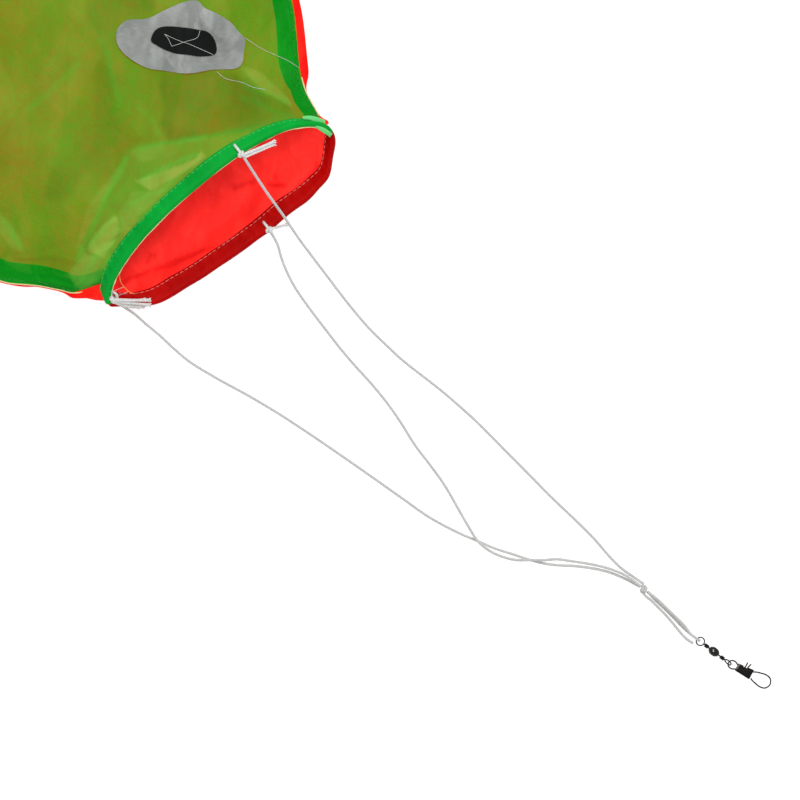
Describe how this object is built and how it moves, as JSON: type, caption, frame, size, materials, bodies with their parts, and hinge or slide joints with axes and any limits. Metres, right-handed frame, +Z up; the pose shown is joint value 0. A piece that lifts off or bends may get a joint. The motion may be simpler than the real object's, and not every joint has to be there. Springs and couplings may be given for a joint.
{
  "type": "fish windsock",
  "caption": "Cloth fish windsock with a sprung hoop in its mouth, patch eyes, fins and an open tail, on a cord bridle that ends in a barrel swivel and a wire snap.",
  "frame": {"origin": "on the ground under the middle of the fish's box, without its bridle", "axes": "+X from the tail to the mouth, +Y from the belly to the back, +Z up from the ground it lies on"},
  "size_m": [0.9095, 0.34, 0.0378],
  "materials": {
    "green_nylon": "thin woven nylon, slightly see-through",
    "red_nylon": "thin woven nylon, slightly see-through",
    "white_nylon": "thin woven nylon",
    "black_nylon": "thin woven nylon",
    "white_cord": "twisted white cord",
    "spring_wire": "drawn spring wire",
    "black_nickel": "polished black nickel plating"
  },
  "bodies": {
    "sock": {"green_side_panel": "green_nylon", "red_side_panel": "red_nylon", "upper_lip_hem": "green_nylon", "lower_lip_hem": "red_nylon", "mouth_hoop": "spring_wire", "hoop_ferrule": "spring_wire", "back_fin": "green_nylon", "belly_fin": "red_nylon", "tail_upper": "green_nylon", "tail_under": "red_nylon", "eye_white_upper": "white_nylon", "eye_pupil_upper": "black_nylon", "eye_white_under": "white_nylon", "eye_pupil_under": "black_nylon", "corner_tie": "white_cord", "lower_tie": "white_cord", "upper_tie": "white_cord", "corner_bridle_leg": "white_cord", "lower_bridle_leg": "white_cord", "upper_bridle_leg": "white_cord", "bridle_knot": "white_cord", "bridle_loop": "white_cord", "bridle_loose_end": "white_cord"},
    "front_eye": {"swivel_front_eye": "black_nickel"},
    "barrel": {"swivel_barrel": "black_nickel"},
    "rear_eye": {"swivel_rear_eye": "black_nickel"},
    "snap": {"snap_plate": "black_nickel", "snap_wire": "black_nickel"},
    "gate": {"snap_gate": "black_nickel"}
  },
  "joints": [
    {"name": "bridle_pivot", "type": "hinge", "parent": "sock", "child": "front_eye", "pos_m": [0.55637, 0.04283, 0.0018], "axis": [0, 0, 1], "range_deg": [-60, 60]},
    {"name": "barrel_spin", "type": "hinge", "parent": "front_eye", "child": "barrel", "pos_m": [0.56344, 0.04484, 0.0018], "axis": [0.9622, 0.2723, 0], "continuous": true},
    {"name": "rear_eye_spin", "type": "hinge", "parent": "barrel", "child": "rear_eye", "pos_m": [0.56546, 0.04541, 0.0018], "axis": [0.9622, 0.2723, 0], "continuous": true},
    {"name": "snap_swing", "type": "hinge", "parent": "rear_eye", "child": "snap", "pos_m": [0.57055, 0.04684, 0.00134], "axis": [-0.4195, 0.9078, 0], "range_deg": [-70, 70]},
    {"name": "snap_gate_open", "type": "hinge", "parent": "snap", "child": "gate", "pos_m": [0.58073, 0.05015, 0.00078], "axis": [-0.0475, -0.022, -0.9986], "range_deg": [0, 25], "stiffness_Nm_per_rad": 0.0004}
  ]
}
